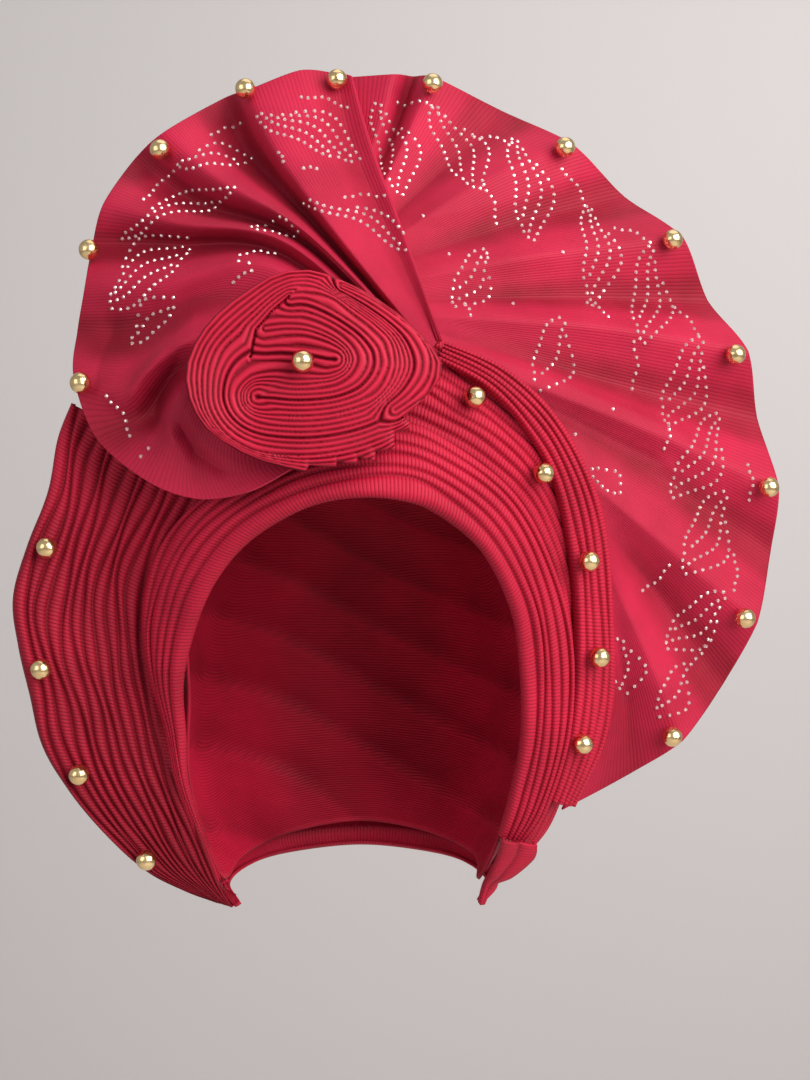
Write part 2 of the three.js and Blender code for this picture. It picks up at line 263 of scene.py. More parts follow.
# Painted highlight: the fans' rims get a lighter, even red with no groove shade.
RIM_PAINTED_HIGHLIGHT = cloth_finish("rim_painted_highlight", pitch=3 * MM, relief=0.00002, rough=0.3, groove_shade=0.0,
                        deep=(0.35, 0.02, 0.04, 1), bright=(0.46, 0.02, 0.05, 1))
STRAND_CLOTH = cloth_finish("rosette_strand_cloth", pitch=2.1 * MM, relief=0.00004, rough=0.52)
print("cloths:", [m.name for m in (PLEAT_CLOTH, FAN_CLOTH, RIM_PAINTED_HIGHLIGHT, STRAND_CLOTH)])


# %% [markdown]
# ## From a flat grid to a draped sheet
# Cloth starts as a flat grid. Every point of the grid is then moved to its place on the folded
# form, and the UV map keeps where that point lies on the flat cloth, in metres. That is why
# the cords later follow the folds. A Solidify modifier gives the sheet its real thickness.

# %% Smooth lines through short tables
def smooth_row(rows, share):
    """The row of numbers at that share (0 to 1) of a smooth line through the table's rows."""
    place = min(max(share, 0.0), 1.0) * (len(rows) - 1)
    i = min(int(place), len(rows) - 2)
    f = place - i
    around = (rows[max(i - 1, 0)], rows[i], rows[i + 1], rows[min(i + 2, len(rows) - 1)])
    made = []
    for before, here, there, after in zip(*around):
        m1, m2 = (there - before) / 2, (after - here) / 2
        bend, close = 3 * (there - here) - 2 * m1 - m2, 2 * (here - there) + m1 + m2
        made.append(here + m1 * f + bend * f * f + close * f ** 3)
    return made


def stir(*place):
    """A smooth random number from -1 to 1 that is the same on each run."""
    return noise.noise(Vector((*place, 0.0, 0.0)[:3]))


# %% Finished pieces
def finished(bm, name, finish):
    """Turns a bmesh into a named object with that finish, and frees the bmesh."""
    mesh = bpy.data.meshes.new(name)
    bm.to_mesh(mesh)
    bm.free()
    mesh.materials.append(finish)
    piece = bpy.data.objects.new(name, mesh)
    bpy.context.collection.objects.link(piece)
    return piece


# %% Grid to sheet
SHEET_WALL = 1.2 * MM
CM2 = 1e-4


def cloth_piece(name, across, along, place, cloth_spot, behind, finish, wall=SHEET_WALL,
                valley=lambda i, j: 0.0, edge=None):
    """A grid of across by along cells. place(i, j) gives each point, and cloth_spot(i0, i, j)
    its place on the flat cloth for a face that starts in column i0. valley(i, j) is the painted
    shade a point gets between folds, from 0 to 1. Faces look away from the point behind."""
    bm = bmesh.new()
    deep = bm.verts.layers.float.new("valley")
    bmesh.ops.create_grid(bm, x_segments=across, y_segments=along, size=0.5)
    cloth = bm.loops.layers.uv.new("cloth")
    column, station = {}, {}
    for v in bm.verts:
        column[v], station[v] = round((v.co.x + 0.5) * across), round((v.co.y + 0.5) * along)
    for v in bm.verts:
        v.co, v[deep] = place(column[v], station[v]), valley(column[v], station[v])
    for face in bm.faces:
        face.smooth = True
        first = min(column[v] for v in face.verts)
        for corner in face.loops:
            corner[cloth].uv = cloth_spot(first, column[corner.vert], station[corner.vert])
    bmesh.ops.remove_doubles(bm, verts=bm.verts, dist=1e-6)
    bm.normal_update()
    if sum(f.normal.dot(f.calc_center_median() - Vector(behind)) for f in bm.faces) < 0:
        bmesh.ops.reverse_faces(bm, faces=bm.faces)
    area = sum(f.calc_area() for f in bm.faces)
    piece = finished(bm, name, finish)
    if wall:
        solid = piece.modifiers.new("cloth_wall", "SOLIDIFY")
        solid.thickness, solid.offset = wall, -1
    if edge:
        piece.data.materials.append(edge)
        solid.material_offset_rim = 1
    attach(piece, "root")
    print(f"{name}: {across} x {along} cells, {area / CM2:.0f} cm2 of cloth shown")
    return piece


# %% [markdown]
# ## Strips of pleats
# Round the face the cloth lies in strips of narrow pleats. A strip is given by the two lines
# along its edges. Between them each pleat rises as a rounded ridge with a sharp valley on
# either side. Real pleats are laid by hand, so their widths and heights wander a little.
# Each pleat keeps its own count of cords, because it is its own layer of cloth.

# %% Pleated strip
HEAD_MIDDLE = (0, 0.02, 0)
TUCK_CELLS = 3
LAYER_SHIFT = 3.7 * MM  # from one layer's cords to the next, so that they don't line up
FLAT_SPREAD = 1.4  # width of cloth in a pleat for each width of pleat


def pleat_edges(widths, wander, j, seed):
    """Shares across the strip where the pleats meet, at station j."""
    total, edge, edges = sum(widths), 0.0, [0.0]
    for k, width in enumerate(widths):
        edge += width
        shift = wander * stir(k * 3.7 + seed, j * 0.035) if k < len(widths) - 1 else 0
        edges.append((edge + shift) / total)
    return edges


def pleated_strip(name, rows, widths, relief, bulge, steps, cells=10, tuck=(2.2, 2.2),
                  round_off=2.4, wander=0.45, seed=0.0, shade=(0.5, 0.0)):
    """A strip through rows of inner and outer edge points (mm). widths are the pleats' shares,
    tuck is how deep each edge turns under (mm), and shade is the painted shade, a deeper red,
    in the valleys and towards the first row."""
    lines = [smooth_row(rows, j / steps) for j in range(steps + 1)]
    inner = [Vector(r[:3]) * MM for r in lines]
    outer = [Vector(r[3:]) * MM for r in lines]
    widest = max((o - i).length for o, i in zip(outer, inner))
    pleats = len(widths)
    ridge_cells = pleats * cells
    points = []
    for j in range(steps + 1):
        a, b = max(j - 1, 0), min(j + 1, steps)
        across = outer[j] - inner[j]
        out = (inner[b] + outer[b] - inner[a] - outer[a]).cross(across).normalized()
        ease = min(1.0, across.length / (0.6 * widest))
        edges = pleat_edges(widths, wander * ease, j, seed)
        row = []
        for i in range(-TUCK_CELLS, ridge_cells + TUCK_CELLS + 1):
            k = min(max(i, 0) // cells, pleats - 1)
            f = min(max(i - k * cells, 0) / cells, 1.0)
            share = edges[k] + (edges[k + 1] - edges[k]) * f
            tall = relief * ease * (0.86 + 0.4 * stir(k * 5.3 + seed, j * 0.05, 7.0))
            swell = bulge * ease * math.sin(math.pi * share)
            rise = tall * (1 - abs(2 * f - 1) ** round_off) + swell
            sunk = max(-i, i - ridge_cells, 0) / TUCK_CELLS
            under = tuck[0] if i < 0 else tuck[1]
            row.append(inner[j] + across * share + out * ((rise - under * sunk) * MM))
        points.append(row)
    runs = []
    for k in range(pleats):
        crest, run = TUCK_CELLS + k * cells + cells // 2, [0.0]
        for j in range(steps):
            run.append(run[-1] + (points[j + 1][crest] - points[j][crest]).length)
        runs.append(run)
    cell_width = widest / ridge_cells * FLAT_SPREAD

    def cloth_spot(i0, i, j):
        k = min(max(i0 - TUCK_CELLS, 0) // cells, pleats - 1)
        return i * cell_width, runs[k][j] + k * LAYER_SHIFT

    # Painted shade: the valleys between pleats and the turned-under edges get a deeper red, and
    # shade[1] deepens the red towards the first row.
    def valley(i, j):
        f = (i - TUCK_CELLS) / cells % 1.0
        between = abs(2 * f - 1) ** 4 if TUCK_CELLS < i < ridge_cells + TUCK_CELLS else 0.4
        return shade[0] * between + shade[1] * (1 - j / steps)

    return cloth_piece(name, ridge_cells + 2 * TUCK_CELLS, steps, lambda i, j: points[j][i],
                       cloth_spot, HEAD_MIDDLE, PLEAT_CLOTH, valley=valley)


# %% [markdown]
# ## The brow band
# This is the edge that frames the face: one broad fold with five pleats behind it, from the
# left cheek over the forehead to the right jaw. The table is short: one row for each station,
# the edge beside the face first and the hidden edge second, in millimetres.

# %% Brow band
BROW_ROWS = [  # inner x, y, z, outer x, y, z
    [-55, -13, -98, -57, -13, -97],
    [-61, -22, -77, -65, -22, -76],
    [-66, -33, -57, -71, -32, -54],
    [-67, -40, -37, -75, -34, -32],
    [-67, -48, -16, -80, -36, -13],
    [-61, -57, 6, -82, -38, 10],
    [-52, -67, 24, -75, -46, 34],
    [-38, -77, 39, -58, -59, 53],
    [-19, -85, 50, -29, -70, 70],
    [-1, -88, 54, -5, -76, 79],
    [17, -88, 53, 16, -79, 82],
    [31, -84, 48, 34, -77, 75],
    [48, -75, 34, 59, -68, 56],
    [59, -63, 13, 75, -56, 28],
    [63, -53, -9, 83, -47, -2],
    [64, -44, -37, 83, -37, -37],
    [60, -36, -61, 75, -28, -67],
    [56, -28, -78, 66, -22, -81],
]
brow = pleated_strip("brow_pleats", BROW_ROWS, [1.6, 1, 1, 1, 1, 0.9], 2.1, 1.5, 260, cells=11,
                     round_off=3.2, shade=(0.4, 0.0))
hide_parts("brow_band")

# %% [markdown]
# ## The crown pleats
# Eight more pleats lie outside the brow band. They come from under the left fan, pass beneath
# the rosette, cross the crown and run down to the right jaw, where they close up.

# %% Crown pleats
CROWN_ROWS = [  # inner x, y, z, outer x, y, z
    [-50, -57, 66, -98, -36, 104],
    [-38, -64, 76, -76, -42, 126],
    [-21, -66, 78, -44, -46, 136],
    [-3, -70, 80, -12, -50, 134],
    [16, -73, 80, 20, -56, 122],
    [34, -71, 73, 41, -60, 106],
    [48, -67, 65, 57, -58, 94],
    [60, -62, 54, 72, -54, 81],
    [70, -55, 39, 83, -42, 63],
    [77, -48, 21, 90, -24, 40],
    [81, -42, -2, 92, -8, 12],
    [82, -36, -26, 91, 0, -18],
    [79, -30, -48, 87, 4, -42],
    [72, -24, -67, 82, 2, -64],
    [67, -19, -78, 77, 2, -77],
    [62, -16, -87, 70, 0, -86],
]
crown = pleated_strip("crown_layers", CROWN_ROWS, [1] * 8, 2.2, 3.0, 260, round_off=3.2,
                      seed=4.0, shade=(0.4, 0.0))
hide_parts("crown_pleats")

# %% [markdown]
# ## The left wing
# On the left the same pleats open out into a flared wing and close again in a point below the
# cheek. Thirteen pleats are laid side by side. They are deepest at the middle of the wing.

# %% Left wing
WING_ROWS = [  # inner x, y, z, outer x, y, z, from the point upwards
    [-50, -8, -109, -58, -9, -106],
    [-54, -11, -102, -70, -15, -100],
    [-57, -15, -92, -85, -22, -91],
    [-61, -20, -77, -99, -30, -76],
    [-66, -25, -60, -111, -38, -59],
    [-69, -25, -46, -120, -44, -41],
    [-73, -26, -31, -124, -48, -21],
    [-76, -27, -16, -128, -50, -2],
    [-77, -29, 0, -130, -50, 16],
    [-77, -32, 15, -125, -48, 36],
    [-71, -41, 31, -118, -44, 57],
    [-61, -48, 46, -115, -40, 77],
    [-55, -51, 59, -110, -38, 91],
]
# Painted shade: the second number of shade makes the wing's red deeper towards its point.
wing = pleated_strip("wing_pleats", WING_ROWS, [1] * 13, 2.7, 0.0, 200, cells=9, tuck=(6.0, 2.2),
                     wander=0.7, seed=9.0, shade=(0.6, 0.95))
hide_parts("left_wing")

# %% [markdown]
# ## The collar folds
# Five narrow folds hide the foot of the right fan. They are pressed flat, so their relief is
# lower than that of the pleats round the face.

# %% Collar folds
COLLAR_ROWS = [  # inner x, y, z, outer x, y, z
    [31, -69, 105, 34, -68, 112],
    [50, -69, 94, 55, -67, 103],
    [65, -65, 78, 74, -63, 87],
    [75, -59, 60, 88, -55, 65],
    [81, -51, 38, 96, -45, 43],
    [84.5, -45, 13, 99, -37, 15],
    [85, -40, -14, 101, -29, -18],
    [82.5, -35, -40, 97, -23, -42],
    [76, -29, -64, 86, -19, -67],
]
collar = pleated_strip("collar_folds", COLLAR_ROWS, [1] * 5, 1.8, 1.0, 180, cells=9,
                       tuck=(3.0, 1.8), round_off=3.2, wander=0.3, seed=14.0)
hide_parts("fan_collar")

# %% [markdown]
# ## The turned tab and the nape band
# Below the right jaw the end of the band is turned under to a point. Behind, a plain band
# with three pleats ties the cloth round the nape. It is out of sight in front, so it is simple.

# %% Tab and nape band
TAB_ROWS = [  # inner x, y, z, outer x, y, z
    [57, -34, -79, 71, -25, -82],
    [56, -27, -86, 70, -21, -88],
    [53, -20, -94, 62, -16, -96],
    [51, -15, -99, 55, -12, -100],
    [49, -10, -108, 51, -9, -108],
]
NAPE_ROWS = [  # lower x, y, z, upper x, y, z, from the right jaw round to the left
    [50, -4, -108, 55, 0, -99],
    [55, 14, -104, 61, 16, -88],
    [48, 38, -100, 57, 40, -80],
    [32, 56, -97, 39, 65, -76],
    [0, 67, -95, 0, 79.5, -73],
    [-32, 56, -97, -39, 65, -76],
    [-48, 38, -100, -57, 40, -80],
    [-55, 14, -104, -61, 16, -90],
    [-49, -3, -110, -55, 2, -101],
]
tab = pleated_strip("turned_tab", TAB_ROWS, [1, 1], 0.8, 0.0, 36, seed=21.0)
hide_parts("jaw_tab")
nape = pleated_strip("nape_pleats", NAPE_ROWS, [1] * 3, 1.6, 0.0, 150, cells=12, tuck=(2.4, 2.4),
                     round_off=3.0, seed=25.0)
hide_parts("nape_band")

# %% [markdown]
# ## The wrap over the head
# Under the pleats the cloth is wound over the crown and round the back of the head. Its front
# edge is a closed loop, and from that loop it closes towards one pole behind the crown. Soft
# wraps run round it, as wide as a hand's width of cloth pulled tight would make them.

# %% Head wrap
HEAD_AXES = (79, 99, 112)
CAP_POLE = Vector((0, 0.55, 0.83)).normalized()
CAP_EDGE = [  # x, y, z, up the left side, over the forehead, down the right, round the nape
    [-54, -8, -98], [-61, -20, -78], [-66, -29, -53], [-65, -36, -24],
    [-65, -44, 6], [-58, -54, 32], [-44, -64, 48], [-24, -71, 60],
    [0, -74, 65], [22, -73, 64], [42, -68, 55], [58, -58, 34],
    [66, -48, 6], [68, -40, -24], [64, -33, -52], [57, -21, -78],
    [49, -8, -98], [49, 22, -94], [38, 46, -90], [20, 58, -86],
    [0, 62, -84], [-20, 58, -86], [-38, 46, -90], [-49, 22, -94],
]
CAP_ROUND, CAP_RINGS = 216, 84
WRAP_DEPTH, WRAPS_UP, WRAPS_ACROSS = 0.035, 0.036, 0.016  # share of the head, wraps to a mm
CAP_SPOT = (2.8 * MM, 2.9 * MM)  # one cell of the flat cloth


def cap_point(i, j):
    """A point of the wrap: i counts round the edge, and j from the pole out to the edge."""
    loop = CAP_EDGE[-2:] + CAP_EDGE + CAP_EDGE[:3]
    round_edge = 2 + len(CAP_EDGE) * (i % CAP_ROUND) / CAP_ROUND
    x, y, z = smooth_row(loop, round_edge / (len(loop) - 1))
    edge = Vector((x / HEAD_AXES[0], y / HEAD_AXES[1], z / HEAD_AXES[2]))
    share = j / CAP_RINGS
    turn = Matrix.Rotation(CAP_POLE.angle(edge) * share, 3, CAP_POLE.cross(edge))
    spot = turn @ (CAP_POLE * (1 + (edge.length - 1) * share * share))
    spot = Vector([c * a for c, a in zip(spot, HEAD_AXES)])
    return spot * (1 - WRAP_DEPTH * wrap_edge(spot) * min(1.0, 6 * (1 - share))) * MM


def wrap_edge(spot):
    """How deep a point lies in the valley between two wraps, from 0 to 1."""
    slope = spot.z * WRAPS_UP + WRAPS_ACROSS * spot.x
    turn = (slope + 0.3 * stir(spot.x * 0.011, spot.y * 0.011, 3.0)) % 1.0
    fade = min(max((spot.y + 40) / 30, 0.0), 1.0)
    return fade * min((1 - turn) ** 3, turn / 0.12)


# The valleys between the wraps get painted shade, a deeper red.
wrap = cloth_piece("head_wrap", CAP_ROUND, CAP_RINGS, cap_point,
                   lambda i0, i, j: (i * CAP_SPOT[0], j * CAP_SPOT[1]), HEAD_MIDDLE, PLEAT_CLOTH,
                   valley=lambda i, j: 0.5 * wrap_edge(cap_point(i, j) / MM))
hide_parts("back_cap")

# %% [markdown]
# ## The fans
# The two ends of the cloth are pleated like a paper fan and spread. Each fold line is one row
# of the table, from its rim down to its foot. Ridges and valleys take turns. Near the foot the
# folds are pressed hard and stay crisp. Towards the rim the cloth relaxes into soft waves, so
# the sheet is blended from straight panels at the foot to a smooth curve at the rim.

# %% Fan sheet
FAN_BEHIND = (0.02, 0.6, 0.1)
FAR = 1e9
CELLS = 12  # across each panel between two folds
CORD_SHARE = 0.35  # the share from rim to foot where the cords' distance is measured
# Painted shade: a fold this deep behind its neighbours gets the full deeper red.
VALLEY_FULL = 7  # depth of a fold where the deep red is full (mm)


def pressed(spot, creases):
    """How far the pressed creases lift a point towards the front (mm)."""
    lift, here = 0.0, Vector((spot.x, spot.z))
    for x0, z0, x1, z1, x2, z2, half, height in creases:
        near = FAR
        ends = [Vector((x0, z0)), Vector((x1, z1)), Vector((x2, z2))]
        for a, b in zip(ends, ends[1:]):
            along = b - a
            f = min(max((here - a).dot(along) / along.length_squared, 0), 1)
            near = min(near, (here - a - along * f).length)
        if near < half:
            ends_off = min((here - e).length for e in (ends[0], ends[2]))
            lift += height * (1 - near / half) ** 1.5 * min(1.0, ends_off / (1.2 * half))
    return lift


def fan_sheet(name, folds, creases, steps, crisp, rumple, seed):
    """A fan through its fold lines (mm). crisp is how much of the fold stays sharp at the rim
    and at the foot, and rumple the height of the small dents (mm)."""
    panels = len(folds) - 1
    lines = [[smooth_row(fold, j / steps) for j in range(steps + 1)] for fold in folds]
    across = [0.0]
    j_ref = round(CORD_SHARE * steps)
    for here, there in zip(lines, lines[1:]):
        across.append(across[-1] + (Vector(here[j_ref]) - Vector(there[j_ref])).length)
    reach = [sum((Vector(line[j]) - Vector(line[j + 1])).length for line in lines) / len(lines)
             for j in range(steps)]
    down = [0.0]
    for step in reach:
        down.append(down[-1] + step)

    def place(i, j):
        k = min(i // CELLS, panels - 1)
        f = (i - k * CELLS) / CELLS
        straight = Vector(lines[k][j]).lerp(Vector(lines[k + 1][j]), f)
        soft = Vector(smooth_row([line[j] for line in lines], (k + f) / panels))
        share = j / steps
        sharp = crisp[0] + (crisp[1] - crisp[0]) * share
        spot = soft.lerp(straight, sharp)
        broad = stir(spot.x * 0.045 + seed, spot.z * 0.045)
        dent = broad + 0.5 * stir(spot.x * 0.11, spot.z * 0.11 + seed)
        spot.y += rumple * dent * (1 - 0.7 * share) - pressed(spot, creases)
        return spot * MM

    points = [[place(i, j) for i in range(panels * CELLS + 1)] for j in range(steps + 1)]

    # Painted shade: a point that lies behind the folds beside it gets a deeper red.
    def valley(i, j):
        row = points[j]
        beside = (row[max(i - CELLS, 0)].y + row[min(i + CELLS, panels * CELLS)].y) / 2
        return min(max((row[i].y - beside) / MM / VALLEY_FULL, 0.0), 1.0) * 0.5

    def cloth_spot(i0, i, j):
        k = min(i0 // CELLS, panels - 1)
        f = (i - k * CELLS) / CELLS
        return down[j] * MM, (across[k] + (across[k + 1] - across[k]) * f) * MM

    return cloth_piece(name, panels * CELLS, steps, lambda i, j: points[j][i], cloth_spot,
                       FAN_BEHIND, FAN_CLOTH, valley=valley, edge=RIM_PAINTED_HIGHLIGHT)


# %% [markdown]
# ### The right fan
# The larger fan stands up from the crown and sweeps round to the right jaw. Its rim waves in
# and out between the beads.

# %% Right fan
RIGHT_FOLDS = [  # rim, middle and foot points, from the upright left edge clockwise
    [[-14, 2, 225], [-8, -8, 206], [-1, -18, 189]],
    [[14, -7, 225], [9, -16, 202], [2, -25, 180]],
    [[22, 6, 227], [14, -9, 200], [4, -25, 174]],
    [[31, -6, 224], [19, -20, 196], [6, -33, 167]],
    [[59, 12, 214], [35, -12, 187], [9, -34, 159]],
    [[86, -4, 198], [49, -23, 179], [12, -41, 152]],
    [[109, 12, 179], [64, -16, 164], [15, -41, 145]],
    [[131, -4, 160], [76, -27, 150], [19, -47, 137]],
    [[143, 10, 136], [85, -19, 134], [22, -47, 130]],
    [[157, -6, 114], [95, -30, 121], [26, -52, 123]],
    [[163, 9, 88], [97, -22, 101], [30, -51, 117]],
    [[169, -8, 59], [103, -31, 85], [35, -53, 109]],
    [[168, 6, 33], [115, -22, 65], [63, -45, 92]],
    [[160, -10, 5], [121, -28, 36], [87, -41, 63]],
    [[148, 3, -21], [118, -15, 18], [95, -36, 43]],
    [[130, -12, -42], [114, -22, -6], [99, -31, 24]],
    [[110, -4, -56], [107, -14, -24], [101, -25, 3]],
    [[82, -10, -70], [94, -14, -46], [102, -20, -21]],
]
RIGHT_CREASES = [  # x, z at start, middle and end, half width, height towards the front
    [21, 161, 64, 174, 98, 190, 9, 1.6],
    [23, 143, 52, 147, 84, 152, 8, 1.4],
    [33, 127, 76, 124, 122, 119, 8, 1.2],
    [35, 113, 80, 99, 136, 77, 9, 2.6],
    [62, 95, 90, 82, 124, 67, 8, -2.0],
]
right_fan = fan_sheet("right_fan_cloth", RIGHT_FOLDS, RIGHT_CREASES, 84, (0.35, 0.95), 0.6, 2.0)
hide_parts("right_fan")

# %% [markdown]
# ### The left fan
# The smaller fan stands upright behind the rosette and turns over on the left into a rounded
# lobe. Its folds are gathered towards one bundle beside and behind the rosette. The first
# panel is a narrow return, which gives the upright edge its thickness.

# %% Left fan
LEFT_FOLDS = [  # rim, outer, inner and gathered points, from the upright edge anticlockwise
    [[-4, 0, 222], [4, -10, 192], [16, -30, 150], [29, -62, 111]],
    [[-2, -12, 223], [6, -26, 193], [20, -52, 151], [32, -76, 112]],
    [[-9, -9, 225], [-2, -22, 194], [15, -50, 150], [31, -75, 111]],
    [[-23, -14, 225], [-13, -30, 194], [7, -58, 150], [30, -78, 110]],
    [[-43, -16, 217], [-31, -36, 189], [-6, -63, 152], [28, -80, 108]],
    [[-55, -2, 216], [-43, -12, 192], [-12, -50, 154], [27, -76, 107]],
    [[-76, -22, 199], [-54, -40, 178], [-17, -67, 152], [26, -81, 106]],
    [[-89, -12, 190], [-63, -26, 170], [-20, -56, 151], [25, -77, 105]],
    [[-99, -30, 169], [-67, -48, 159], [-24, -69, 148], [24, -82, 103]],
    [[-104, -24, 154], [-70, -36, 152], [-27, -60, 145], [23, -78, 102]],
    [[-105, -38, 135], [-73, -58, 135], [-30, -72, 139], [22, -82, 101]],
    [[-108, -36, 119], [-82, -50, 118], [-44, -67, 127], [18, -78, 98]],
    [[-107, -52, 100], [-87, -66, 94], [-58, -74, 112], [2, -78, 94]],
    [[-97, -60, 76], [-80, -62, 84], [-61, -68, 102], [-12, -77, 92]],
    [[-75, -76, 59], [-66, -77, 78], [-57, -76, 93], [-20, -77, 90]],
    [[-56, -82, 53], [-58, -79, 66], [-51, -77, 84], [-20, -77, 87]],
    [[-37, -88, 56], [-42, -84, 63], [-40, -80, 76], [-17, -79, 83]],
    [[-19, -88, 66], [-22, -85, 69], [-23, -82, 74], [-13, -80, 79]],
]
LEFT_CREASES = [  # x, z at start, middle and end, half width, height towards the front
    [-60, 122, -76, 108, -89, 90, 8, -2.6],
    [-57, 115, -79, 98, -87, 84, 8, 3.6],
    [-62, 110, -74, 92, -76, 76, 7, -4.2],
    [-61, 98, -69, 85, -65, 69, 6, 2.8],
    [-66, 84, -58, 70, -44, 61, 5, -2.4],
    [-90, 128, -97, 108, -99, 88, 8, -1.6],
]
left_fan = fan_sheet("left_fan_cloth", LEFT_FOLDS, LEFT_CREASES, 110, (0.12, 0.6), 0.5, 6.0)
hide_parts("left_fan")

# %% [markdown]
# ## The rosette
# The rosette is a bundle of pleats wound on edge into an oval coil. From the front only the
# folded edges show, as fine strands that run side by side. The bundle's middle line is a
# table: it starts at a slanted cut, turns round the bead, turns back the other way, and then
# winds outwards to a tail that ends in steps. A second, shorter bundle comes down from the
# left fan and closes the coil on the right.

# %% Lines of the coil
COIL_LINE = [  # x, z along the middle of the bundle, from its cut start to its tail
    [-30.4, 113], [-23.6, 113.7], [-16.5, 113.3], [-10.1, 111.3], [-5.2, 108.7], [-1.6, 105.5],
    [-0.3, 101.8], [-2, 98], [-5.9, 95.5], [-10.8, 94.5], [-20.1, 94.1], [-27.9, 95],
    [-34.3, 94.5], [-37.8, 92], [-38.9, 88.8], [-37.7, 85.2], [-33.9, 82.6], [-27.2, 81.5],
    [-16.5, 81.1], [-5.9, 82.2], [4.8, 85.2], [10.8, 89.5], [14.7, 94.8], [16.2, 101.2],
    [14.4, 108.7], [8.7, 114.7], [0.9, 120.4], [-6.2, 125.2], [-13.7, 128.8], [-20.8, 129.1],
    [-27.9, 126], [-35.7, 119.7], [-42.5, 113.7], [-48.5, 107.3], [-51.6, 100.5], [-52.4, 92.7],
    [-51.6, 85.2], [-47.6, 78.1], [-41.2, 72.7], [-32.2, 68.9], [-20.1, 67.5], [-9.4, 68],
    [1.2, 70], [10.5, 73.2], [18.3, 77.1], [23.3, 80.6],
]
FAN_LINE = [  # x, z along the short bundle from the fan
    [-3, 128.4], [5.5, 124.5], [15.4, 118.1], [23.4, 111.2], [27.7, 103.4], [27, 95.5],
    [21.8, 88.8], [15.4, 84.2],
]
START_CUT = [  # x, z along the cut start, from the bead's side upwards
    [-35.7, 103], [-33.9, 112.6], [-28.2, 119.3], [-22.2, 124.5],
]
COIL_RIM = [  # x, z round the outline, clockwise from the right, with the tail's steps
    [32.1, 101.2], [31.4, 95.5], [28.2, 91.3], [23.3, 86.3], [18.6, 82.2], [20.6, 80.3],
    [20.8, 77.6], [15.4, 76.7], [15.3, 73.5], [15.4, 70.3], [8.5, 70], [8.3, 66.1],
    [2.1, 67.8], [1.8, 65.1], [-5.3, 66.4], [-5.7, 64.4], [-15.2, 64.9], [-16.5, 62.3],
    [-23.6, 63.9], [-32.2, 66.4], [-39.3, 69.3], [-46.4, 73.5], [-52, 77.8], [-55.6, 82.8],
    [-58.1, 88.4], [-59.4, 94.8], [-58.8, 101.2], [-56.3, 107.6], [-52.8, 113.3], [-48.5, 118.3],
    [-42.8, 123.3], [-35.7, 128.2], [-29.3, 132.1], [-22.9, 134.1], [-15.1, 134.5], [-9.4, 133.1],
    [-3.7, 130.7], [1.9, 128.1], [9.1, 124], [16.2, 119], [22.6, 113.3], [28.2, 107.6],
]
TAIL_END = [-23.6, 63.9]  # the rim's point where the tail's steps end
COIL_BOUND = [  # x, z round the coil as if its tail went on, clockwise from the right
    [32.1, 101.2], [31.6, 95.5], [29.3, 88.4], [26.1, 82], [21.1, 74.9], [14, 68.9],
    [4.8, 64.4], [-5.9, 62.3], [-16.5, 62.3],
] + COIL_RIM[COIL_RIM.index(TAIL_END):]
COIL_MIDDLE = (-16.5, 101.2)
print("coil line:", len(COIL_LINE), "rim:", len(COIL_RIM))

# %% [markdown]
# The height of every point of the disc follows from two distances: to the nearest stretch of
# a bundle and to the next one beside it. Their ratio says how far across the bundle the point
# lies, and so which strand it is on. Where two passes meet there is always a valley.

# %% Strands of the coil
STRANDS, FAN_STRANDS = 7, 4
STRAND_RELIEF, COIL_DOME = 1.7, 3.2
COIL_FRONT, COIL_BACK, COIL_LEAN, COIL_WALL = -106.2, -86, 11, 8
COIL_AROUND, COIL_OUT = 480, 112
BOUND_SHARE = 0.84  # out to this share the grid follows the bound, and then it bends to the rim
PASS_APART, PASS_REACH = 13.0, 17.0  # along the line and across it (mm)
SAMPLE_STEP = 0.8
FAN_START = 2000.0  # the short bundle's runs start here, far from any run of the coil
STRAND_CLOTH_WIDTH = 2.1 * MM


def line_samples(rows, strands, start):
    """Points at even steps along a line, as place, side direction, run and number of strands."""
    count = int(sum(math.dist(a, b) for a, b in zip(rows, rows[1:])) / SAMPLE_STEP)
    spots = [smooth_row(rows, k / count) for k in range(count + 1)]
    found = []
    for k, (x, z) in enumerate(spots):
        a, b = spots[max(k - 1, 0)], spots[min(k + 1, count)]
        size = math.dist(a, b)
        side = (a[1] - b[1]) / size, (b[0] - a[0]) / size
        found.append((x, z, *side, start + k * SAMPLE_STEP, strands))
    return found


def rim_distance(outline, angle):
    """How far an outline is from the middle in that direction (mm)."""
    aim = Vector((math.cos(angle), math.sin(angle)))
    far = 0.0
    for a, b in zip(outline, outline[1:] + outline[:1]):
        a, b = Vector(a) - Vector(COIL_MIDDLE), Vector(b) - Vector(COIL_MIDDLE)
        turn = aim.cross(b - a)
        if abs(turn) > 1e-9 and 0 <= -aim.cross(a) / turn <= 1:
            far = max(far, a.cross(b - a) / turn)
    return far


def beside_cut(x, z):
    """Distance to the cut start, and whether the point is on the outer side of it (mm)."""
    near, side = FAR, 1
    for a, b in zip(START_CUT, START_CUT[1:]):
        ax, az, bx, bz = *a, *b
        f = ((x - ax) * (bx - ax) + (z - az) * (bz - az)) / ((bx - ax) ** 2 + (bz - az) ** 2)
        f = min(max(f, 0.0), 1.0)
        d = math.hypot(x - ax - f * (bx - ax), z - az - f * (bz - az))
        if d < near:
            near, side = d, (bx - ax) * (z - az) - (bz - az) * (x - ax)
    return near, side > 0


def behind_cut(x, z, sample):
    """Whether the cut start lies between a point and a sample of a line."""
    here, there = Vector((x, z)), Vector(sample[:2])
    return any(intersect_line_line_2d(here, there, Vector(a), Vector(b))
               for a, b in zip(START_CUT, START_CUT[1:]))


